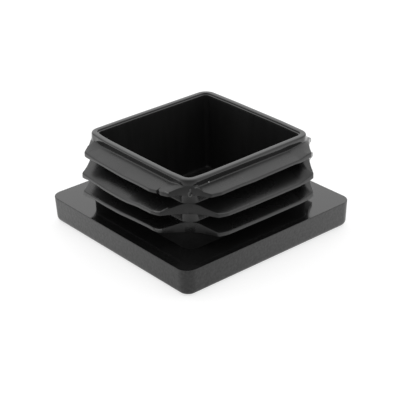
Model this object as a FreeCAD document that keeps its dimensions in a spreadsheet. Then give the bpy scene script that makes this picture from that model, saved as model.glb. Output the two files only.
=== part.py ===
import FreeCAD, Part
import math
import os
import Sketcher

# Ribbed end cap for square tube, moulded in one piece.
# Origin at the centre of the outer face of the head, +Z towards the open mouth of the stem, millimetres.
# The head covers the tube's end, the hollow stem goes into the bore, and three rows of springy fins
# round the stem grip the bore. Each corner is scooped out, so the four sides flex by themselves.

# Driving sizes: name, value, what it measures.
SIZES = (
    ("tube_width", 40.0, "outside width of the square tube, and of the head that covers its end"),
    ("tube_wall", 2.0, "wall of the tube that the fins are sized for"),
    ("head_thickness", 5.1, "outer face to seating face"),
    ("head_corner_radius", 2.25, "upright corners of the head, at the seating face"),
    ("head_draft", 3.0, "degrees, the head's sides lean in towards the outer face"),
    ("head_edge_radius", 1.1, "rounding round the outer face"),
    ("fin_interference", 0.6, "how far a free fin stands beyond the bore, each side"),
    ("fin_reach", 4.03, "full fin, from the stem's wall to the fin's edge"),
    ("lead_fin_reach", 2.9, "shorter fin next to the mouth, which leads the cap into the tube"),
    ("fin_edge", 0.55, "thickness of a fin at its free edge"),
    ("fin_slope", 25.5, "degrees, upper side of a full fin, rising towards the wall"),
    ("lead_fin_slope", 21.5, "degrees, upper side of the lead fin"),
    ("fin_undercut", 7.0, "degrees, underside of a fin, rising towards the wall"),
    ("fin_seat_gap", 2.78, "seating face to the free edge of the lowest fin"),
    ("fin_pitch", 3.54, "one full fin's free edge to the next"),
    ("lead_fin_pitch", 3.7, "middle fin's free edge to the lead fin's"),
    ("fin_end_radius", 0.7, "rounding at both ends of a fin's free edge, seen from above"),
    ("stem_wall", 1.15, "wall of the hollow stem"),
    ("stem_corner_radius", 2.35, "upright corners of the stem, outside"),
    ("rim_land", 1.58, "bare wall between the lead fin and the rim"),
    ("rim_radius", 0.5, "rounding of the rim's outer edge"),
    ("mouth_step_width", 0.28, "ledge just inside the mouth"),
    ("mouth_step_depth", 0.3, "rim down to the ledge"),
    ("floor_thickness", 2.6, "outer face to the floor of the hollow"),
    ("floor_edge_radius", 0.5, "rounding round the floor of the hollow"),
    ("hollow_corner_radius", 0.95, "upright corners of the hollow, at the rim"),
    ("hollow_draft", 0.5, "degrees, the hollow narrows towards its floor"),
    ("relief_radius", 14.0, "scoop down each corner, through all the fins"),
    ("relief_web", 0.08, "what the scoop leaves outside the stem's corner"),
)

# Sizes that follow from the driving ones: name, formula, what it measures.
DERIVED = (
    ("stem_width", "=tube_width - 2 * (tube_wall + fin_reach - fin_interference)", "stem, outside"),
    ("middle_fin_height", "=head_thickness + fin_seat_gap + fin_pitch", "outer face to middle fin's free edge"),
    ("lead_fin_height", "=middle_fin_height + lead_fin_pitch", "outer face to lead fin's free edge"),
    ("lead_fin_rise", "=fin_edge + lead_fin_reach * tan(lead_fin_slope * 1deg)", "lead fin, free edge to root"),
    ("stem_height", "=lead_fin_height + lead_fin_rise + rim_land - head_thickness", "seating face to rim"),
    ("rim_height", "=head_thickness + stem_height", "outer face to rim"),
    ("hollow_depth", "=rim_height - floor_thickness", "rim to the floor of the hollow"),
    ("mouth_width", "=stem_width - 2 * stem_wall", "hollow, at the rim"),
    ("corner_offset", "=stem_width / 2 - stem_corner_radius", "axis of a stem corner, from the mid planes"),
    (
        "relief_offset",
        "=corner_offset + (stem_corner_radius + relief_web + relief_radius) * sqrt(0.5)",
        "axis of a corner's scoop, from the middle planes",
    ),
)

# Fin rows from the head to the mouth: name, reach, slope and height of the free edge.
FIN_ROWS = (
    ("LowFin", "fin_reach", "fin_slope", "Sizes.head_thickness + Sizes.fin_seat_gap"),
    ("MiddleFin", "fin_reach", "fin_slope", "Sizes.middle_fin_height"),
    ("LeadFin", "lead_fin_reach", "lead_fin_slope", "Sizes.lead_fin_height"),
)

SIDES = 4
FULL_TURN = 360.0
LINE_START, LINE_END, ARC_CENTRE = 1, 2, 3
ORIGIN_POINT = (-1, 1)
TOUCH = 0.01

document = FreeCAD.newDocument("TubeEndCap")
sheet = document.addObject("Spreadsheet::Sheet", "Sizes")
for row, (alias, value, meaning) in enumerate(SIZES + DERIVED, start=1):
    sheet.set(f"A{row}", alias)
    sheet.set(f"B{row}", str(value))
    sheet.set(f"C{row}", meaning)
    sheet.setAlias(f"B{row}", alias)
document.recompute()

cap = document.addObject("PartDesign::Body", "EndCap")
cap.Label = "end_cap"


def value_of(formula):
    """A formula's value now, as a number."""
    return float(cap.evalExpression(formula))


def origin_feature(role):
    """A plane or axis of the body's own origin."""
    return next(item for item in cap.Origin.OriginFeatures if item.Role == role)


def new_sketch(name, role, height="0"):
    """A sketch on one of the origin planes, lifted along its normal by a formula."""
    sketch = cap.newObject("Sketcher::SketchObject", name)
    sketch.AttachmentSupport = [(origin_feature(role), "")]
    sketch.MapMode = "FlatFace"
    sketch.setExpression("AttachmentOffset.Base.z", height)
    return sketch


def constrain(sketch, label, formula, kind, *where):
    """A named dimension of a sketch, driven by a formula."""
    value = value_of(formula)
    if kind == "Angle":
        value = math.radians(value)
    index = sketch.addConstraint(Sketcher.Constraint(kind, *where, value))
    sketch.renameConstraint(index, label)
    sketch.setExpression(f"Constraints.{label}", formula)


def draw_rounded_square(sketch, width_formula, radius_formula):
    """A square with rounded corners about the origin: sides 0 to 3, then their corner arcs 4 to 7."""
    radius = value_of(radius_formula)
    half = value_of(width_formula) / 2
    inner = half - radius
    up = FreeCAD.Vector(0, 0, 1)
    turns = [FreeCAD.Rotation(up, FULL_TURN / SIDES * side) for side in range(SIDES)]
    for turn in turns:
        start = turn.multVec(FreeCAD.Vector(-inner, -half, 0))
        end = turn.multVec(FreeCAD.Vector(inner, -half, 0))
        sketch.addGeometry(Part.LineSegment(start, end), False)
    for side, turn in enumerate(turns):
        circle = Part.Circle(turn.multVec(FreeCAD.Vector(inner, -inner, 0)), up, radius)
        first = math.radians(FULL_TURN / SIDES * (side - 1))
        last = math.radians(FULL_TURN / SIDES * side)
        sketch.addGeometry(Part.ArcOfCircle(circle, first, last), False)
    for side in range(SIDES):
        arc = SIDES + side
        following = (side + 1) % SIDES
        sketch.addConstraint(Sketcher.Constraint("Tangent", side, LINE_END, arc, LINE_START))
        sketch.addConstraint(Sketcher.Constraint("Tangent", arc, LINE_END, following, LINE_START))
        sketch.addConstraint(Sketcher.Constraint("Vertical" if side % 2 else "Horizontal", side))
        if side:
            sketch.addConstraint(Sketcher.Constraint("Equal", SIDES, arc))
    sketch.addConstraint(Sketcher.Constraint("Equal", 0, 1))
    sketch.addConstraint(
        Sketcher.Constraint("Symmetric", SIDES, ARC_CENTRE, SIDES + 2, ARC_CENTRE, *ORIGIN_POINT)
    )
    constrain(sketch, "corner", radius_formula, "Radius", SIDES)
    constrain(sketch, "width", width_formula, "DistanceX", 3, LINE_START, 1, LINE_START)


def draw_fin_section(sketch, reach_name, slope_name, height_formula):
    """A fin's section, rooted inside the stem's wall: both sides rise from the free edge to the root."""
    edge_formula = f"Sizes.stem_width / 2 + Sizes.{reach_name}"
    root_formula = "(Sizes.stem_width - Sizes.stem_wall) / 2"
    edge_x = value_of(edge_formula)
    root_x = value_of(root_formula)
    edge_low = value_of(height_formula)
    edge_top = edge_low + value_of("Sizes.fin_edge")
    root_low = edge_low + (edge_x - root_x) * value_of("tan(Sizes.fin_undercut * 1deg)")
    root_top = edge_top + (edge_x - root_x) * value_of(f"tan(Sizes.{slope_name} * 1deg)")
    outer_top, outer_low = FreeCAD.Vector(edge_x, edge_top, 0), FreeCAD.Vector(edge_x, edge_low, 0)
    inner_top, inner_low = FreeCAD.Vector(root_x, root_top, 0), FreeCAD.Vector(root_x, root_low, 0)
    lines = ((inner_top, outer_top), (outer_top, outer_low), (inner_low, outer_low), (inner_low, inner_top))
    for start, end in lines:
        sketch.addGeometry(Part.LineSegment(start, end), False)
    top, edge, underside, root = range(len(lines))
    corners = (
        (top, LINE_END, edge, LINE_START),
        (edge, LINE_END, underside, LINE_END),
        (underside, LINE_START, root, LINE_START),
        (root, LINE_END, top, LINE_START),
    )
    for corner in corners:
        sketch.addConstraint(Sketcher.Constraint("Coincident", *corner))
    sketch.addConstraint(Sketcher.Constraint("Vertical", edge))
    sketch.addConstraint(Sketcher.Constraint("Vertical", root))
    constrain(sketch, "edge_x", edge_formula, "DistanceX", *ORIGIN_POINT, edge, LINE_END)
    constrain(sketch, "edge_height", height_formula, "DistanceY", *ORIGIN_POINT, edge, LINE_END)
    constrain(sketch, "edge_thickness", "Sizes.fin_edge", "DistanceY", edge, LINE_END, edge, LINE_START)
    constrain(sketch, "root_x", root_formula, "DistanceX", *ORIGIN_POINT, root, LINE_START)
    constrain(sketch, "undercut", "-Sizes.fin_undercut * 1deg", "Angle", underside)
    constrain(sketch, "slope", f"-Sizes.{slope_name} * 1deg", "Angle", top)


def pad(name, sketch, length_formula):
    """Material from a sketch along its normal."""
    feature = cap.newObject("PartDesign::Pad", name)
    feature.Profile = sketch
    feature.setExpression("Length", length_formula)
    return feature


def pocket(name, sketch, depth_formula):
    """A cut from a sketch against its normal."""
    feature = cap.newObject("PartDesign::Pocket", name)
    feature.Profile = sketch
    feature.setExpression("Length", depth_formula)
    return feature


def fillet(name, base, radius_formula, wanted):
    """Rounds those edges of a feature that a test picks."""
    document.recompute()
    edges = [f"Edge{i}" for i, edge in enumerate(base.Shape.Edges, start=1) if wanted(edge)]
    feature = cap.newObject("PartDesign::Fillet", name)
    feature.Base = (base, edges)
    feature.setExpression("Radius", radius_formula)
    return feature


def lies_at(edge, height):
    """True for an edge that lies level at a height."""
    box = edge.BoundBox
    return abs(box.ZMin - height) < TOUCH and abs(box.ZMax - height) < TOUCH


def reach_of(edge):
    """How far an edge gets from the middle planes."""
    box = edge.BoundBox
    return max(box.XMax, -box.XMin, box.YMax, -box.YMin)


def is_fin_end(edge):
    """True for the short upright edges at both ends of a fin's free edge."""
    box = edge.BoundBox
    upright = box.XLength < TOUCH and box.YLength < TOUCH
    short = box.ZLength < value_of("Sizes.fin_edge") + TOUCH
    return upright and short and reach_of(edge) > value_of("Sizes.stem_width") / 2 + TOUCH


def is_rim_outside(edge):
    """True for the outer edges of the rim, not those of the mouth."""
    middle_of_wall = value_of("(Sizes.stem_width - Sizes.stem_wall) / 2")
    return lies_at(edge, value_of("Sizes.rim_height")) and reach_of(edge) > middle_of_wall


# Head: a square plate with drafted sides, as wide as the tube where it seats on the tube's end.
head_sketch = new_sketch("HeadOutline", "XY_Plane", "Sizes.head_thickness")
draw_rounded_square(head_sketch, "Sizes.tube_width", "Sizes.head_corner_radius")
head = pad("Head", head_sketch, "Sizes.head_thickness")
head.Reversed = True
head.setExpression("TaperAngle", "-Sizes.head_draft")
outer_edge = fillet("OuterFaceEdge", head, "Sizes.head_edge_radius", lambda edge: lies_at(edge, 0))

# Stem: a square post on the seating face, hollowed out further down.
stem_sketch = new_sketch("StemOutline", "XY_Plane", "Sizes.head_thickness")
draw_rounded_square(stem_sketch, "Sizes.stem_width", "Sizes.stem_corner_radius")
stem = pad("Stem", stem_sketch, "Sizes.stem_height")

# Fins: one section for each row, swept round the outline of the stem.
document.recompute()
stem_edges = [f"Edge{i}" for i in range(1, len(stem_sketch.Geometry) + 1)]
for fin_name, reach_name, slope_name, edge_height in FIN_ROWS:
    section = new_sketch(f"{fin_name}Section", "XZ_Plane")
    draw_fin_section(section, reach_name, slope_name, edge_height)
    fin = cap.newObject("PartDesign::AdditivePipe", fin_name)
    fin.Profile = section
    fin.Spine = (stem_sketch, stem_edges)

# Corner reliefs: a round scoop down each corner of the stem, from the rim to the seating face.
relief_sketch = new_sketch("ReliefOutline", "XY_Plane", "Sizes.head_thickness")
relief_offset = value_of("Sizes.relief_offset")
relief_centre = FreeCAD.Vector(relief_offset, relief_offset, 0)
scoop = Part.Circle(relief_centre, FreeCAD.Vector(0, 0, 1), value_of("Sizes.relief_radius"))
relief_sketch.addGeometry(scoop, False)
constrain(relief_sketch, "offset_x", "Sizes.relief_offset", "DistanceX", *ORIGIN_POINT, 0, ARC_CENTRE)
constrain(relief_sketch, "offset_y", "Sizes.relief_offset", "DistanceY", *ORIGIN_POINT, 0, ARC_CENTRE)
constrain(relief_sketch, "radius", "Sizes.relief_radius", "Radius", 0)
relief = pocket("Relief", relief_sketch, "Sizes.stem_height")
relief.Reversed = True
reliefs = cap.newObject("PartDesign::PolarPattern", "Reliefs")
reliefs.Originals = [relief]
reliefs.Axis = (origin_feature("Z_Axis"), [""])
reliefs.Angle = FULL_TURN
reliefs.Occurrences = SIDES
cap.Tip = reliefs
fin_ends = fillet("FinEnds", reliefs, "Sizes.fin_end_radius", is_fin_end)

# Hollow: open at the rim, closed by the head, with a narrow ledge just inside the mouth.
hollow_sketch = new_sketch("HollowOutline", "XY_Plane", "Sizes.rim_height")
draw_rounded_square(hollow_sketch, "Sizes.mouth_width", "Sizes.hollow_corner_radius")
hollow = pocket("Hollow", hollow_sketch, "Sizes.hollow_depth")
hollow.setExpression("TaperAngle", "-Sizes.hollow_draft")
floor_height = value_of("Sizes.floor_thickness")
floor_edge = fillet("FloorEdge", hollow, "Sizes.floor_edge_radius", lambda edge: lies_at(edge, floor_height))

step_sketch = new_sketch("MouthStepOutline", "XY_Plane", "Sizes.rim_height")
draw_rounded_square(
    step_sketch,
    "Sizes.mouth_width + 2 * Sizes.mouth_step_width",
    "Sizes.hollow_corner_radius + Sizes.mouth_step_width",
)
mouth_step = pocket("MouthStep", step_sketch, "Sizes.mouth_step_depth")
rim_edge = fillet("RimEdge", mouth_step, "Sizes.rim_radius", is_rim_outside)
cap.Tip = rim_edge
document.recompute()

for item in document.Objects:
    if "Invalid" in item.State or "Error" in item.State:
        raise RuntimeError(f"{item.Label} failed: {item.State}")
if cap.Shape.isNull() or not cap.Shape.isValid() or len(cap.Shape.Solids) != 1:
    raise RuntimeError("the end cap is not one valid solid")

os.makedirs("parts", exist_ok=True)
cap.Shape.exportStep(f"parts/{cap.Label}.step")
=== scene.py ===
import math

import bmesh
import bpy
import numpy as np
from mathutils import Matrix, Vector


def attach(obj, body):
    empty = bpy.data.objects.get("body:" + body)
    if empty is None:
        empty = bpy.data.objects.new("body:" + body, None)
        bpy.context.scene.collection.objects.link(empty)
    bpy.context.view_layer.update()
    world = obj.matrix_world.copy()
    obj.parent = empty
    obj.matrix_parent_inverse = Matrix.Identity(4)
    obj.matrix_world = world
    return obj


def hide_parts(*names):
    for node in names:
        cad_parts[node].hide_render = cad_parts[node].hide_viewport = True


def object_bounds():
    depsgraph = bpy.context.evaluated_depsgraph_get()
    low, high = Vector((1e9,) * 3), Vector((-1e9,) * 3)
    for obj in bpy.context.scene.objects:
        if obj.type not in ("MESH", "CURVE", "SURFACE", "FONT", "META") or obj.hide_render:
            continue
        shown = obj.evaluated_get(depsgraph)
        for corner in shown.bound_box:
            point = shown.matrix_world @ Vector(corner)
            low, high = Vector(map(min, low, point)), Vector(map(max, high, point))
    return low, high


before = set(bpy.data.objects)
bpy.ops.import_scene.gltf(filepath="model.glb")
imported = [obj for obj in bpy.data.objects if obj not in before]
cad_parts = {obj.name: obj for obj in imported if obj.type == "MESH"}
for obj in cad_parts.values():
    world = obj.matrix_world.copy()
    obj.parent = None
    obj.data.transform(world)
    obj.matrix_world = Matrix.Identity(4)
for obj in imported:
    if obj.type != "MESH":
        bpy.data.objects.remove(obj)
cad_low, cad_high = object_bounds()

# Black end cap for square tube, moulded in one piece, standing on the outer face of its head.
# Lengths are in millimetres up to the point where the mesh is made.
MM = 0.001

# Head
HEAD_HALF = cad_high.x / MM
SEAT_HEIGHT = 5.1
HEAD_CORNER_RADIUS = 2.25
HEAD_DRAFT = math.radians(3.0)
OUTER_EDGE_RADIUS = 1.1
SEAT_EDGE_RADIUS = 0.1

# Stem and its hollow
RIM_HEIGHT = cad_high.z / MM
STEM_HALF = 14.57
STEM_CORNER_RADIUS = 2.35
STEM_ROOT_RADIUS = 0.012
RIM_RADIUS = 0.32
MOUTH_RADIUS = 0.15
MOUTH_STEP_WIDTH = 0.28
MOUTH_STEP_DEPTH = 0.3
LEDGE_RADIUS = 0.06
HOLLOW_CORNER_RADIUS = 0.95
HOLLOW_DRAFT = math.radians(0.5)
FLOOR_HEIGHT = 2.6
FLOOR_EDGE_RADIUS = 0.5

# Fins, in rows from the head to the mouth: how far they reach, the height of the edge's underside, the slope
# of the top, and how far it bulges at half reach
LOW, MIDDLE, LEAD = range(3)
FIN_EDGE = 0.55
FIN_REACHES = (4.03, 4.03, 2.9)
FIN_EDGE_HEIGHTS = (7.88, 11.42, 15.12)
FIN_SLOPES = (0.477, 0.477, 0.394)
FIN_BULGES = (-0.09, -0.09, -0.04)
FIN_UNDERCUT = math.radians(7.0)
FIN_TOP_EDGE_ROUNDING = 0.2
FIN_LOW_EDGE_ROUNDING = 0.05
FIN_ROOT_ROUNDING = 0.2
FIN_END_SOFTNESS = 0.5
# Where a scoop leaves little of a fin, its roundings are held to these shares of its reach.
EDGE_ROUNDING_SHARE = 0.3
ROOT_ROUNDING_SHARE = 0.4

# What is particular to this one cap is in tables. Each gives a length by place along a side in plan, where
# places count from the side's middle toward its right end, seen from outside. Side 0 is the left one in the
# photograph, side 1 the right one, and sides 2 and 3 follow round the cap.

# The soft fins have set a little out of true: rises of the free edge, by side and row
FIN_RISES = {
    (0, LOW): ((-11, 0.5), (-8, 0.35), (-4, 0.27), (0, 0.31), (4.6, 0.66), (8.2, 0.86), (11, 0.86)),
    (0, MIDDLE): (
        (-11, 0.5), (-8, 0.3), (-4, -0.1), (0, -0.17), (2.5, -0.08), (5.2, 0.28), (9, 0.42), (11, 0.5),
    ),
    (0, LEAD): ((-11, 0.45), (-8, 0.1), (-4, -0.05), (0, -0.18), (4, -0.04), (8, -0.03), (11, 0.05)),
    (1, LOW): ((-11, 0.15), (-8, 0.08), (0, 0), (7.9, 0), (9.5, 0.3), (11, 0.75)),
    (1, MIDDLE): ((-11, 0.28), (-8, 0.15), (-3, 0.03), (7.8, 0.02), (9.5, 0.4), (11, 0.85)),
    (1, LEAD): ((-11, 0.2), (-5, 0.24), (-2, 0.14), (4, 0.24), (9, 0.3), (11, 0.75)),
    (2, LOW): ((-11, 0.4), (-8, 0.1), (0, 0), (8, 0.1), (11, 0.4)),
    (2, MIDDLE): ((-11, 0.3), (-8, 0.1), (0, 0), (8, 0.1), (11, 0.4)),
    (2, LEAD): ((-11, 0), (-8, 0), (0, 0), (8, 0.1), (11, 0.3)),
    (3, LOW): ((-11, 0.4), (-8, 0.1), (0, 0), (8, 0.1), (11, 0.4)),
    (3, MIDDLE): ((-11, 0.4), (-8, 0.1), (0, 0), (8, 0.1), (11, 0.4)),
    (3, LEAD): ((-11, 0.3), (-8, 0.1), (0, 0), (8, 0.1), (11, 0.3)),
}
# A set fin bends more and more toward its edge: its rise goes with this power of the way out.
RISE_POWER = 1.5
# Where a fin's end has drawn in: reach lost, by side and row. Side 0's lead fin has a nick in it as well,
# deepest at 9.33.
FIN_LOSSES = {
    (0, LOW): ((9.8, 0), (10.8, 0.3), (11.8, 0.5)),
    (0, MIDDLE): ((9.2, 0), (10.2, 0.25), (11.2, 0.6), (12, 0.8)),
    (0, LEAD): ((7.6, 0), (9.19, 0.34), (9.33, 0.68), (10.1, 0.4), (10.6, 0.5), (12, 0.9)),
    (1, LOW): ((-12, 0.7), (-11, 0.45), (-10, 0.15), (-9, 0)),
    (1, MIDDLE): ((-12, 0.7), (-11, 0.5), (-10, 0.2), (-9, 0)),
    (1, LEAD): ((-12, 0.5), (-11, 0.35), (-9.5, 0)),
    (2, LOW): ((-8, 0.45), (-2, 0)),
    (2, MIDDLE): ((-8, 0.45), (-2, 0)),
    (2, LEAD): ((-8, 0.3), (-2, 0)),
}
# The torn flank of that nick is dull: the box of plan that it lies in, and a height just under the fin
NICK_BOX = ((9.2, -17.5), (9.35, -16.2))
NICK_HEIGHT = 14.8
# Ends where all fins are thicker at the free edge, by side and end (-1 left, 1 right): by how much, and
# between which places it comes
THICK_ENDS = ((0, -1), (1, 1))
THICKENING = 0.36
THICKENING_PLACES = (7.5, 10.8)
# Ends toward which the lead fin's root climbs the stem: by how much, and between which places
CLIMBING_ENDS = ((0, -1), (0, 1))
LEAD_ROOT_CLIMB = 0.35
LEAD_ROOT_CLIMB_PLACES = (9.6, 12.2)
# At the right end of side 1 the top of each fin turns up toward the fin above: how far its root climbs
END_CLIMBS = {
    (1, LOW): ((8.2, 0), (9.2, 0.6), (10.0, 1.35), (10.7, 1.4), (12.2, 1.1), (13.4, 0.8), (15.9, 0)),
    (1, MIDDLE): ((8.4, 0), (9.4, 0.6), (10.2, 1.35), (10.9, 1.4), (12.2, 1.15), (13.4, 0.85), (15.9, 0)),
    (1, LEAD): ((9.0, 0), (10.6, 0.2), (11.6, 0.33), (12.2, 0.35), (13.4, 0.3), (15.9, 0)),
}

# The thin wall at the mouth has bowed out along most sides: by how much, by side, and how far down it fades
RIM_FLARES = {
    0: ((-12.2, -0.08), (-10.6, 0.12), (-8, 0.28), (0, 0.35), (9.5, 0.33), (12.2, 0.12)),
    1: ((-12.2, 0.12), (-10, 0.26), (-3, 0.25), (2, 0.14), (8, 0.05), (12.2, 0)),
    2: ((-12.2, 0), (-7, 0.18), (6, 0.15), (12.2, 0)),
    3: ((-12.2, 0), (6, 0), (12.2, -0.08)),
}
RIM_FLARE_DEPTH = 4.0
# The wall has a knee not far above the lead fin: how far it has bowed out there. On most of side 1 that is
# more than half of the bow at the rim, and toward its right end it is more than all of it.
KNEE_HEIGHT = 17.4
KNEE_FLARES = {
    0: ((-12.2, -0.03), (-10.6, 0.05), (-8, 0.11), (0, 0.14), (9.5, 0.13), (12.2, 0.05)),
    1: ((-12.2, 0.05), (-10, 0.16), (-3, 0.16), (2, 0.13), (8, 0.15), (11, 0.12), (12.2, 0)),
    2: ((-12.2, 0), (-7, 0.07), (6, 0.06), (12.2, 0)),
    3: ((-12.2, 0), (6, 0), (12.2, -0.03)),
}

# Small light grey marks by the front corner: the points of each line and its radius. The first is a curl of
# flash below the rim, where the plastic was scraped or stretched and has turned grey, the second a light spot
# beside it, and the others are painted highlights along the rounded edges of fin ends.
GREYED_AND_HIGHLIGHT_LINES = (
    (((14.2, -13.75, 16.75), (14.25, -13.72, 16.4), (14.03, -13.92, 16.0), (13.97, -13.98, 15.6),
      (14.06, -13.9, 15.3), (14.3, -13.66, 15.35), (14.36, -13.6, 15.75)), 0.14),
    (((14.72, -13.2, 16.93), (14.8, -13.0, 16.97), (14.86, -12.75, 17.0)), 0.15),
    # Painted highlights from here on: the rounded edges of the lead, middle and low fin ends, drawn light
    # grey
    (((11.0, -16.76, 16.1), (11.45, -16.7, 16.06), (11.85, -16.55, 16.02)), 0.14),
    (((9.9, -18.3, 12.52), (10.4, -18.24, 12.56), (10.8, -18.12, 12.58), (11.02, -17.9, 12.66)), 0.14),
    (((11.0, -17.85, 12.64), (11.1, -17.4, 12.76), (11.22, -16.95, 12.92), (11.45, -16.5, 13.06)), 0.07),
    (((10.2, -18.52, 9.24), (10.7, -18.36, 9.22), (11.05, -18.14, 9.22), (11.2, -17.86, 9.26)), 0.14),
)
# Specks of dust: place and radius
DUST_SPECKS = (((14.6, -10.0, 16.9), 0.15),)

# Corner reliefs: the radius of the scoop down each corner of the stem, how far its axis is from both middle
# planes, by the corner's signs of x and y, and what it leaves outside the stem
RELIEF_RADIUS = 14.0
RELIEF_OFFSETS = {(-1, -1): 23.86, (1, -1): 23.82, (1, 1): 24.15, (-1, 1): 23.9}
RELIEF_WEB = 0.1

# The head's and the stem's rounded squares are each a core square with a margin round it.
HEAD_CORE = HEAD_HALF - HEAD_CORNER_RADIUS
STEM_CORE = STEM_HALF - STEM_CORNER_RADIUS
SIDES = 4

# Spacing of the mesh along one side of the stem, and in each corner
FIELD_SPACING = 0.42
END_SPACING = 0.13
END_ZONE = 4.6
CORNER_STEPS = 16

# Finishes of the moulding, in the order of the mesh's materials
SPARK_ERODED, POLISHED, MOULDED, CORED, MATT = range(5)


def side_stations():
    """Places along one side of the stem, closer together near both ends, where the scoops cut the fins."""
    field = STEM_CORE - END_ZONE
    ends = np.linspace(0, END_ZONE, round(END_ZONE / END_SPACING) + 1)
    middle = np.linspace(-field, field, round(2 * field / FIELD_SPACING) + 1)
    return np.concatenate([-STEM_CORE + ends[:-1], middle, field + ends[1:]])


def plan_of_cap():
    """For each station round the cap: point on a core square of half width 1, way out, side and place.

    The round corner after a side counts as that side's, with places beyond its end.
    """
    cores, ways, sides, places = [], [], [], []
    for side in range(SIDES):
        turn = np.array(Matrix.Rotation(math.tau / SIDES * side, 2))
        for place in side_stations():
            cores.append(turn @ (place / STEM_CORE, -1))
            ways.append(turn @ (0, -1))
            sides.append(side)
            places.append(place)
        for angle in np.linspace(0, math.pi / 2, CORNER_STEPS + 1)[1:-1]:
            cores.append(turn @ (1, -1))
            ways.append(turn @ (math.sin(angle), -math.cos(angle)))
            sides.append(side)
            places.append(STEM_CORE + angle * STEM_CORNER_RADIUS)
    return np.array(cores), np.array(ways), np.array(sides), np.array(places)


CORES, WAYS, PLAN_SIDES, PLAN_PLACES = plan_of_cap()
STATIONS = len(CORES)


def relief_reach():
    """How far material can stand out from the stem at each station, before it meets a corner's scoop."""
    feet = CORES * STEM_CORE + WAYS * STEM_CORNER_RADIUS
    reach = np.full(STATIONS, 2 * max(FIN_REACHES))
    for signs, offset in RELIEF_OFFSETS.items():
        to_foot = feet - offset * np.array(signs)
        along = (to_foot * WAYS).sum(axis=1)
        clear = along ** 2 - ((to_foot ** 2).sum(axis=1) - RELIEF_RADIUS ** 2)
        meets = (clear > 0) & (along < 0)
        first = -along - np.sqrt(np.where(meets, clear, 0))
        reach = np.where(meets, np.minimum(reach, first), reach)
    return np.maximum(reach, RELIEF_WEB)


def soft_minimum(a, b, width):
    """The lesser of two lengths, with a rounded turn from one to the other."""
    blend = np.clip(0.5 + (b - a) / (2 * width), 0, 1)
    return b * (1 - blend) + a * blend - width * blend * (1 - blend)


def at_stations(tables):
    """A length at each station, from the tables that some of the sides have."""
    lengths = np.zeros(STATIONS)
    for side, table in tables.items():
        places, values = zip(*table)
        here = PLAN_SIDES == side
        lengths[here] = np.interp(PLAN_PLACES[here], places, values)
    return lengths


def of_row(tables, level):
    """The tables of one row of fins, by side."""
    return {side: table for (side, row), table in tables.items() if row == level}


def share_at_ends(ends, first, last):
    """How far each station is on its way from a first place to a last one, toward the listed ends."""
    share = np.zeros(STATIONS)
    for side, end in ends:
        here = PLAN_SIDES == side
        share[here] += np.clip((PLAN_PLACES[here] * end - first) / (last - first), 0, 1)
    return share * share * (3 - 2 * share)


def root_climb(level):
    """How much higher up the stem than elsewhere the top of a fin meets it, at each station."""
    climb = at_stations(of_row(END_CLIMBS, level))
    if level == LEAD:
        climb += LEAD_ROOT_CLIMB * share_at_ends(CLIMBING_ENDS, *LEAD_ROOT_CLIMB_PLACES)
    return climb


class Section:
    """The cap's section as rings round its axis: each is a core square, a margin round it and a height."""

    def __init__(self):
        self.points = []
        self.finishes = []

    def ring(self, core, margin, height, finish):
        """One ring; its finish is that of the band up to it from the ring before."""
        margin = np.broadcast_to(margin, STATIONS)
        height = np.broadcast_to(height, STATIONS)
        plan = CORES * core + WAYS * margin[:, None]
        self.points.append(np.column_stack([plan, height]))
        self.finishes.append(finish)

    def arc(self, core, margin, height, radius, first, last, steps, finish, before=None):
        """A rounding about a centre at a margin and height, between two angles in degrees.

        The band that leads up to it can have another finish than the rounding itself.
        """
        finish_here = finish if before is None else before
        for angle in np.radians(np.linspace(first, last, steps + 1)):
            self.ring(core, margin + radius * math.cos(angle), height + radius * math.sin(angle), finish_here)
            finish_here = finish


def add_head(section):
    """Outer face, its rounded edge, the drafted sides and the seating face, up to the foot of the stem."""
    lean = math.tan(HEAD_DRAFT)
    degrees = math.degrees(HEAD_DRAFT)

    def side_margin(height):
        return HEAD_CORNER_RADIUS - (SEAT_HEIGHT - height) * lean

    edge_margin = side_margin(OUTER_EDGE_RADIUS) - OUTER_EDGE_RADIUS / math.cos(HEAD_DRAFT)
    for share in (0.15, 0.4, 0.7, 0.9):
        section.ring(HEAD_CORE * share, edge_margin * share, 0, SPARK_ERODED)
    section.arc(HEAD_CORE, edge_margin, OUTER_EDGE_RADIUS, OUTER_EDGE_RADIUS, -90, -degrees, 8, SPARK_ERODED)

    seat_edge_height = SEAT_HEIGHT - SEAT_EDGE_RADIUS
    seat_margin = side_margin(seat_edge_height) - SEAT_EDGE_RADIUS / math.cos(HEAD_DRAFT)
    for share in (0.05, 0.35, 0.65, 0.95):
        height = OUTER_EDGE_RADIUS + share * (seat_edge_height - OUTER_EDGE_RADIUS)
        section.ring(HEAD_CORE, side_margin(height), height, SPARK_ERODED)
    section.arc(HEAD_CORE, seat_margin, seat_edge_height, SEAT_EDGE_RADIUS, -degrees, 90, 5, SPARK_ERODED)

    foot_margin = STEM_CORNER_RADIUS + STEM_ROOT_RADIUS
    for share in (0.03, 0.2, 0.4, 0.6, 0.8, 0.97):
        core = HEAD_CORE + share * (STEM_CORE - HEAD_CORE)
        margin = seat_margin + share * (foot_margin - seat_margin)
        section.ring(core, margin, SEAT_HEIGHT, POLISHED)
    section.arc(
        STEM_CORE, foot_margin, SEAT_HEIGHT + STEM_ROOT_RADIUS, STEM_ROOT_RADIUS, -90, -180, 4, MATT, POLISHED
    )


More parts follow.
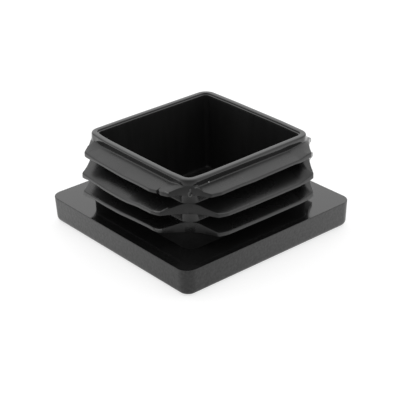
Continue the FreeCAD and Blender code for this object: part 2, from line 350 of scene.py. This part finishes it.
def add_fin(section, level, reach_to_scoop):
    """One row of fins: underside, rounded free edge, sloping top, and a small fillet at each root."""
    full_reach, edge_height = FIN_REACHES[level], FIN_EDGE_HEIGHTS[level]
    loss = at_stations(of_row(FIN_LOSSES, level))
    reach = soft_minimum(full_reach - loss, reach_to_scoop, FIN_END_SOFTNESS)
    reach = np.maximum(reach, RELIEF_WEB)
    rise = at_stations(of_row(FIN_RISES, level))
    climb = root_climb(level)
    thickening = THICKENING * share_at_ends(THICK_ENDS, *THICKENING_PLACES)
    top_edge = np.minimum(FIN_TOP_EDGE_ROUNDING, EDGE_ROUNDING_SHARE * reach)
    low_edge = np.minimum(FIN_LOW_EDGE_ROUNDING, EDGE_ROUNDING_SHARE * reach)
    root_rounding = np.minimum(FIN_ROOT_ROUNDING, ROOT_ROUNDING_SHARE * reach)

    def lift(out):
        return rise * (np.clip(out, 0, None) / full_reach) ** RISE_POWER

    def underside(out):
        end_drop = thickening * np.clip(out, 0, None) / full_reach
        return edge_height + (full_reach - out) * math.tan(FIN_UNDERCUT) + lift(out) - end_drop

    def top(out):
        rest = full_reach - out
        bulge = 4 * FIN_BULGES[level] * out * rest / full_reach ** 2
        return edge_height + FIN_EDGE + rest * (FIN_SLOPES[level] + climb / full_reach) + bulge + lift(out)

    def arc(out, height, radius, first, last, steps, before=MOULDED):
        section.arc(STEM_CORE, STEM_CORNER_RADIUS + out, height, radius, first, last, steps, MOULDED, before)

    def line(surface, start, end, shares):
        for share in shares:
            out = start + share * (end - start)
            section.ring(STEM_CORE, STEM_CORNER_RADIUS + out, surface(out), MOULDED)

    undercut = math.degrees(FIN_UNDERCUT)
    slope_angle = math.atan(FIN_SLOPES[level])
    slope = math.degrees(slope_angle)
    low_tip = reach - low_edge
    top_tip = reach - top_edge
    wall = MATT if level == LOW else POLISHED
    low_centre = underside(root_rounding) - root_rounding / math.cos(FIN_UNDERCUT)
    arc(root_rounding, low_centre, root_rounding, 180, 90 - undercut, 4, wall)
    line(underside, root_rounding, low_tip, (0.15, 0.4, 0.65, 0.9))
    arc(low_tip, underside(low_tip) + low_edge / math.cos(FIN_UNDERCUT), low_edge, -90 - undercut, 0, 3)
    arc(top_tip, top(top_tip) - top_edge / math.cos(slope_angle), top_edge, 0, 90 - slope, 4)
    line(top, top_tip, root_rounding, (0.05, 0.2, 0.4, 0.6, 0.8, 0.95))
    top_centre = top(root_rounding) + root_rounding / math.cos(slope_angle)
    arc(root_rounding, top_centre, root_rounding, -90 - slope, -180, 5)


def add_rim_and_hollow(section):
    """Knee in the wall above the fins, rounded rim, ledge inside the mouth, the hollow's walls and floor."""
    flare = at_stations(RIM_FLARES)
    section.ring(STEM_CORE, STEM_CORNER_RADIUS + at_stations(KNEE_FLARES), KNEE_HEIGHT, POLISHED)
    rim_margin = STEM_CORNER_RADIUS - RIM_RADIUS + flare
    section.arc(STEM_CORE, rim_margin, RIM_HEIGHT - RIM_RADIUS, RIM_RADIUS, 0, 90, 6, POLISHED)
    step_margin = HOLLOW_CORNER_RADIUS + MOUTH_STEP_WIDTH + flare
    section.arc(
        STEM_CORE, step_margin + MOUTH_RADIUS, RIM_HEIGHT - MOUTH_RADIUS, MOUTH_RADIUS, 90, 180, 4, POLISHED
    )
    ledge_height = RIM_HEIGHT - MOUTH_STEP_DEPTH
    section.ring(STEM_CORE, step_margin, ledge_height, CORED)
    section.arc(
        STEM_CORE, HOLLOW_CORNER_RADIUS + LEDGE_RADIUS + flare, ledge_height - LEDGE_RADIUS, LEDGE_RADIUS,
        90, 180, 3, POLISHED,
    )

    def wall_margin(height):
        depth = RIM_HEIGHT - height
        bowed = flare * max(0, 1 - depth / RIM_FLARE_DEPTH)
        return HOLLOW_CORNER_RADIUS - depth * math.tan(HOLLOW_DRAFT) + bowed

    floor_top = FLOOR_HEIGHT + FLOOR_EDGE_RADIUS
    for share in (0.05, 0.2, 0.35, 0.65, 0.95):
        height = ledge_height + share * (floor_top - ledge_height)
        section.ring(STEM_CORE, wall_margin(height), height, CORED)
    floor_margin = wall_margin(floor_top) - FLOOR_EDGE_RADIUS
    section.arc(STEM_CORE, floor_margin, floor_top, FLOOR_EDGE_RADIUS, 0, -90, 5, CORED)
    for share in (0.9, 0.7, 0.4, 0.15):
        section.ring(STEM_CORE * share, floor_margin * share, FLOOR_HEIGHT, CORED)


def mesh_from_section(name, section):
    """A closed mesh from the rings: quads between them, and a fan at the middle of both end faces."""
    rings = np.array(section.points)
    count = len(rings)
    vertices = np.vstack([rings.reshape(-1, 3), (0, 0, 0), (0, 0, FLOOR_HEIGHT)]) * MM
    outer_middle = count * STATIONS
    floor_middle = outer_middle + 1
    faces, finishes = [], []
    for station in range(STATIONS):
        following = (station + 1) % STATIONS
        faces.append((outer_middle, following, station))
        finishes.append(section.finishes[0])
        for ring in range(1, count):
            before, here = (ring - 1) * STATIONS, ring * STATIONS
            faces.append((before + station, before + following, here + following, here + station))
            finishes.append(section.finishes[ring])
        last = (count - 1) * STATIONS
        faces.append((floor_middle, last + station, last + following))
        finishes.append(section.finishes[-1])
    mesh = bpy.data.meshes.new(name)
    mesh.from_pydata(vertices.tolist(), [], faces)
    mesh.polygons.foreach_set("material_index", finishes)
    mesh.polygons.foreach_set("use_smooth", [True] * len(faces))
    mesh.update()
    return mesh


def dull_nick(mesh):
    """Give the torn flank of the nick in the lead fin the matt finish."""
    (low_x, low_y), (high_x, high_y) = NICK_BOX
    for face in mesh.polygons:
        x, y, z = face.center / MM
        if low_x < x < high_x and low_y < y < high_y and z > NICK_HEIGHT:
            face.material_index = MATT


def linear(hex_colour):
    """A linear colour from an sRGB hex value such as 1A1B1C."""
    channels = [int(hex_colour[i:i + 2], 16) / 255 for i in (0, 2, 4)]
    return [c / 12.92 if c <= 0.04045 else ((c + 0.055) / 1.055) ** 2.4 for c in channels] + [1.0]


def add_node(tree, kind, settings=None, links=None):
    """A shader node, with its properties and input values set and its inputs linked."""
    node = tree.nodes.new(kind)
    for key, value in (settings or {}).items():
        if isinstance(key, int) or key in node.inputs:
            node.inputs[key].default_value = value
        else:
            setattr(node, key, value)
    for key, source in (links or {}).items():
        tree.links.new(source, node.inputs[key])
    return node


def new_material(name):
    """A material and its node tree, which is empty."""
    material = bpy.data.materials.new(name)
    material.use_nodes = True
    material.node_tree.nodes.clear()
    return material, material.node_tree


# The part of a noise pattern's range that its values seldom leave
NOISE_RANGE = {"From Min": 0.3, "From Max": 0.7}


def mottled_material(
    name, pattern_mm, colours, roughnesses, bump_mm=0, ior=1.6, specular=0.5, stretch=(1, 1, 1)
):
    """A surface whose colour, gloss and height (by up to bump_mm) wander with one pattern of a real size."""
    material, tree = new_material(name)
    place = add_node(tree, "ShaderNodeTexCoord").outputs["Object"]
    stretched = add_node(tree, "ShaderNodeMapping", {"Scale": stretch}, {"Vector": place})
    pattern = add_node(
        tree, "ShaderNodeTexNoise",
        {"Scale": 1 / (pattern_mm * MM), "Detail": 2.0, "Roughness": 0.55},
        {"Vector": stretched.outputs["Vector"]},
    ).outputs["Fac"]
    dark, light = [linear(colour)[0] for colour in colours]
    colour = add_node(
        tree, "ShaderNodeMapRange", {**NOISE_RANGE, "To Min": dark, "To Max": light}, {"Value": pattern}
    )
    glossy, dull = roughnesses
    roughness = add_node(
        tree, "ShaderNodeMapRange", {**NOISE_RANGE, "To Min": glossy, "To Max": dull}, {"Value": pattern}
    )
    links = {"Base Color": colour.outputs["Result"], "Roughness": roughness.outputs["Result"]}
    if bump_mm:
        bump = add_node(
            tree, "ShaderNodeBump", {"Strength": 1.0, "Distance": bump_mm * MM}, {"Height": pattern}
        )
        links["Normal"] = bump.outputs["Normal"]
    shader = add_node(
        tree, "ShaderNodeBsdfPrincipled", {"IOR": ior, "Specular IOR Level": specular}, links
    )
    add_node(tree, "ShaderNodeOutputMaterial", links={"Surface": shader.outputs["BSDF"]})
    return material


def spark_eroded_polyethylene():
    """Black low-density polyethylene off a spark-eroded mould face, on the head: an even grain, half matt.

    The real grain is 0.1 to 0.2 mm, too fine to show in the image, so it is drawn at 0.5 mm.
    """
    return mottled_material("spark_eroded_polyethylene", 0.5, ("080808", "303030"), (0.42, 0.42), 0.05)


def polished_polyethylene():
    """The same plastic off polished mould faces, on seat, mouth and wall between fins: a smeared mirror."""
    return mottled_material("polished_polyethylene", 4.0, ("141415", "18181A"), (0.06, 0.12))


def moulded_polyethylene():
    """The same plastic off a plain machined mould, on the fins: a soft gloss that wanders with the flow."""
    return mottled_material("moulded_polyethylene", 6.0, ("121213", "141415"), (0.26, 0.3))


def cored_polyethylene():
    """The same plastic off the core that forms the hollow: dull, with faint drag lines from its way out."""
    return mottled_material(
        "cored_polyethylene", 0.8, ("1B1B1C", "212122"), (0.38, 0.44), 0.01, 1.5, 0.35, stretch=(1, 1, 0.1)
    )


def matt_polyethylene():
    """The same plastic off the deep, unpolished part of the mould at the stem's foot: it mirrors little."""
    return mottled_material("matt_polyethylene", 0.5, ("151516", "1B1B1C"), (0.55, 0.65), 0.01, 1.5, 0.12)


def greyed_and_highlight_polyethylene():
    """The same plastic in light grey: scraped or stretched grey on the curl of flash, a painted highlight on
    the fin ends; uneven and rough in the black round it.
    """
    return mottled_material("greyed_and_highlight_polyethylene", 0.3, ("505050", "686868"), (0.35, 0.5), 0.02, 1.5)


def dust():
    """Pale grey household dust: uneven and dull, so that a speck shows as a light point on the black."""
    return mottled_material("pale_dust", 0.2, ("A8A8A6", "C0C0BE"), (0.9, 0.9), 0.02, 1.4, 0.2)


def make_cap():
    """The dressed end cap, which stands for the one moulded piece."""
    section = Section()
    add_head(section)
    reach_to_scoop = relief_reach()
    for level in (LOW, MIDDLE, LEAD):
        add_fin(section, level, reach_to_scoop)
    add_rim_and_hollow(section)
    mesh = mesh_from_section("ribbed_cap", section)
    dull_nick(mesh)
    for material in (
        spark_eroded_polyethylene(), polished_polyethylene(), moulded_polyethylene(), cored_polyethylene(),
        matt_polyethylene(),
    ):
        mesh.materials.append(material)
    cap = bpy.data.objects.new("ribbed_cap", mesh)
    bpy.context.scene.collection.objects.link(cap)
    flat_faces = cap.modifiers.new("flat_faces_stay_flat", "WEIGHTED_NORMAL")
    flat_faces.weight = 80
    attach(cap, "root")
    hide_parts("end_cap")


def make_marks():
    """The light grey lines, a curl of flash and painted highlights on fin ends, and the specks of dust by the
    front corner.
    """
    greyed_and_highlight, pale = greyed_and_highlight_polyethylene(), dust()
    for number, (places, radius) in enumerate(GREYED_AND_HIGHLIGHT_LINES):
        line = bpy.data.curves.new(f"greyed_and_highlight_line_{number}", "CURVE")
        line.dimensions = "3D"
        line.bevel_depth = radius * MM
        line.bevel_resolution = 3
        line.use_fill_caps = True
        spline = line.splines.new("NURBS")
        spline.points.add(len(places) - 1)
        for point, place in zip(spline.points, places):
            point.co = (*(Vector(place) * MM), 1)
        spline.order_u = 3
        spline.use_endpoint_u = True
        line.materials.append(greyed_and_highlight)
        mark = bpy.data.objects.new(f"greyed_and_highlight_line_{number}", line)
        bpy.context.scene.collection.objects.link(mark)
        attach(mark, "root")
    for number, (place, radius) in enumerate(DUST_SPECKS):
        shape = bmesh.new()
        to_place = Matrix.Translation(Vector(place) * MM)
        bmesh.ops.create_icosphere(shape, subdivisions=2, radius=radius * MM, matrix=to_place)
        mesh = bpy.data.meshes.new(f"dust_speck_{number}")
        shape.to_mesh(mesh)
        shape.free()
        mesh.materials.append(pale)
        speck = bpy.data.objects.new(f"dust_speck_{number}", mesh)
        bpy.context.scene.collection.objects.link(speck)
        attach(speck, "root")


# Camera: where the photograph was taken from, found by fitting the cap's corners.
CAMERA_AZIMUTH = math.radians(50.45)
CAMERA_ELEVATION = math.radians(27.02)
CAMERA_ROLL = math.radians(-1.60)
CAMERA_DISTANCE = 242.9
SENSOR_WIDTH = 36.0
IMAGE_WIDTH = 400
FOCAL_PIXELS = 1303.3
SEAT_CENTRE_PIXEL = (199.7, 197.16)


def make_camera():
    """The camera looks at the middle of the seating face, with a small shift for the photo's framing."""
    level_way = math.cos(CAMERA_ELEVATION)
    back = Vector((
        math.sin(CAMERA_AZIMUTH) * level_way,
        -math.cos(CAMERA_AZIMUTH) * level_way,
        math.sin(CAMERA_ELEVATION),
    ))
    level_right = Vector((math.cos(CAMERA_AZIMUTH), math.sin(CAMERA_AZIMUTH), 0))
    upright = back.cross(level_right)
    right = level_right * math.cos(CAMERA_ROLL) + upright * math.sin(CAMERA_ROLL)
    up = back.cross(right)
    data = bpy.data.cameras.new("photo_camera")
    data.sensor_width = SENSOR_WIDTH
    data.lens = FOCAL_PIXELS * SENSOR_WIDTH / IMAGE_WIDTH
    data.shift_x = (IMAGE_WIDTH / 2 - SEAT_CENTRE_PIXEL[0]) / IMAGE_WIDTH
    data.shift_y = (SEAT_CENTRE_PIXEL[1] - IMAGE_WIDTH / 2) / IMAGE_WIDTH
    data.clip_start = 0.01
    data.clip_end = 20
    camera = bpy.data.objects.new("photo_camera", data)
    place = Vector((0, 0, SEAT_HEIGHT * MM)) + back * CAMERA_DISTANCE * MM
    turn = Matrix((right, up, back)).transposed()
    camera.matrix_world = Matrix.Translation(place) @ turn.to_4x4()
    bpy.context.scene.collection.objects.link(camera)
    bpy.context.scene.camera = camera


# Level way from the cap toward the side of the room that the photograph was taken from
FRONT = (math.sqrt(0.5), -math.sqrt(0.5), 0.0)
# The table top in metres: half its width, and how far in front of the cap's middle its mirrored light has
# fallen to the share that is left
TABLE_HALF = 3.0
TABLE_FADE = 0.05
TABLE_FADED_SHARE = 0.05
# Light that the table gives off where the camera sees it, so that it is white there
TABLE_SEEN_LIFT = 0.69
# The surround dims toward the front, from full at one cosine of the angle to it down to a share at another.
SURROUND_FULL_UP_TO = 0.2
SURROUND_DIM_FROM = 0.95
SURROUND_DIM_SHARE = 0.35
# The lamp: its width and place in metres, and its power in watts
LAMP_WIDTH = 1.3
LAMP_PLACE = (-0.53, 0.42, 0.735)
LAMP_POWER = 1.6


def make_floor():
    """A white table top, lifted to white where it is seen or mirrored, less so on the room's dark side."""
    mesh = bpy.data.meshes.new("white_floor")
    corners = [(TABLE_HALF * x, TABLE_HALF * y, 0) for x, y in ((-1, -1), (1, -1), (1, 1), (-1, 1))]
    mesh.from_pydata(corners, [], [(0, 1, 2, 3)])
    floor = bpy.data.objects.new("white_floor", mesh)
    material, tree = new_material("white_table")
    path = add_node(tree, "ShaderNodeLightPath")
    place = add_node(tree, "ShaderNodeTexCoord").outputs["Object"]
    frontward = add_node(tree, "ShaderNodeVectorMath", {"operation": "DOT_PRODUCT", 1: FRONT}, {0: place})
    mirrored_lift = add_node(
        tree, "ShaderNodeMapRange",
        {"From Min": 0.0, "From Max": TABLE_FADE, "To Min": 1.0, "To Max": TABLE_FADED_SHARE},
        {"Value": frontward.outputs["Value"]},
    )
    mirrored = add_node(
        tree, "ShaderNodeMath", {"operation": "MULTIPLY"},
        {0: mirrored_lift.outputs["Result"], 1: path.outputs["Is Glossy Ray"]},
    )
    seen = add_node(
        tree, "ShaderNodeMath", {"operation": "MAXIMUM"},
        {0: path.outputs["Is Camera Ray"], 1: path.outputs["Is Transmission Ray"]},
    )
    lift = add_node(
        tree, "ShaderNodeMath", {"operation": "MULTIPLY_ADD", 1: TABLE_SEEN_LIFT},
        {0: seen.outputs["Value"], 2: mirrored.outputs["Value"]},
    )
    shader = add_node(
        tree, "ShaderNodeBsdfPrincipled",
        {"Base Color": linear("ACACAC"), "Roughness": 0.9, "Emission Color": linear("FFFFFF")},
        {"Emission Strength": lift.outputs["Value"]},
    )
    add_node(tree, "ShaderNodeOutputMaterial", links={"Surface": shader.outputs["BSDF"]})
    mesh.materials.append(material)
    bpy.context.scene.collection.objects.link(floor)


def make_light():
    """A white surround, darker on the side the photograph was taken from, and a large soft lamp behind."""
    world = bpy.data.worlds.new("white_surround")
    bpy.context.scene.world = world
    world.use_nodes = True
    tree = world.node_tree
    tree.nodes.clear()
    way = add_node(tree, "ShaderNodeTexCoord").outputs["Generated"]
    frontward = add_node(tree, "ShaderNodeVectorMath", {"operation": "DOT_PRODUCT", 1: FRONT}, {0: way})
    strength = add_node(
        tree, "ShaderNodeMapRange",
        {
            "interpolation_type": "SMOOTHSTEP", "From Min": SURROUND_FULL_UP_TO,
            "From Max": SURROUND_DIM_FROM, "To Min": 1.0, "To Max": SURROUND_DIM_SHARE,
        },
        {"Value": frontward.outputs["Value"]},
    )
    surround = add_node(
        tree, "ShaderNodeBackground", {"Color": linear("FFFFFF")}, {"Strength": strength.outputs["Result"]}
    )
    add_node(tree, "ShaderNodeOutputWorld", links={"Surface": surround.outputs["Background"]})

    data = bpy.data.lights.new("soft_box", "AREA")
    data.shape = "SQUARE"
    data.size = LAMP_WIDTH
    data.energy = LAMP_POWER
    lamp = bpy.data.objects.new("soft_box", data)
    lamp.location = LAMP_PLACE
    lamp.rotation_mode = "QUATERNION"
    lamp.rotation_quaternion = lamp.location.to_track_quat("Z", "Y")
    bpy.context.scene.collection.objects.link(lamp)


make_cap()
make_marks()
make_camera()
make_floor()
make_light()
bpy.context.scene.view_settings.view_transform = "Standard"
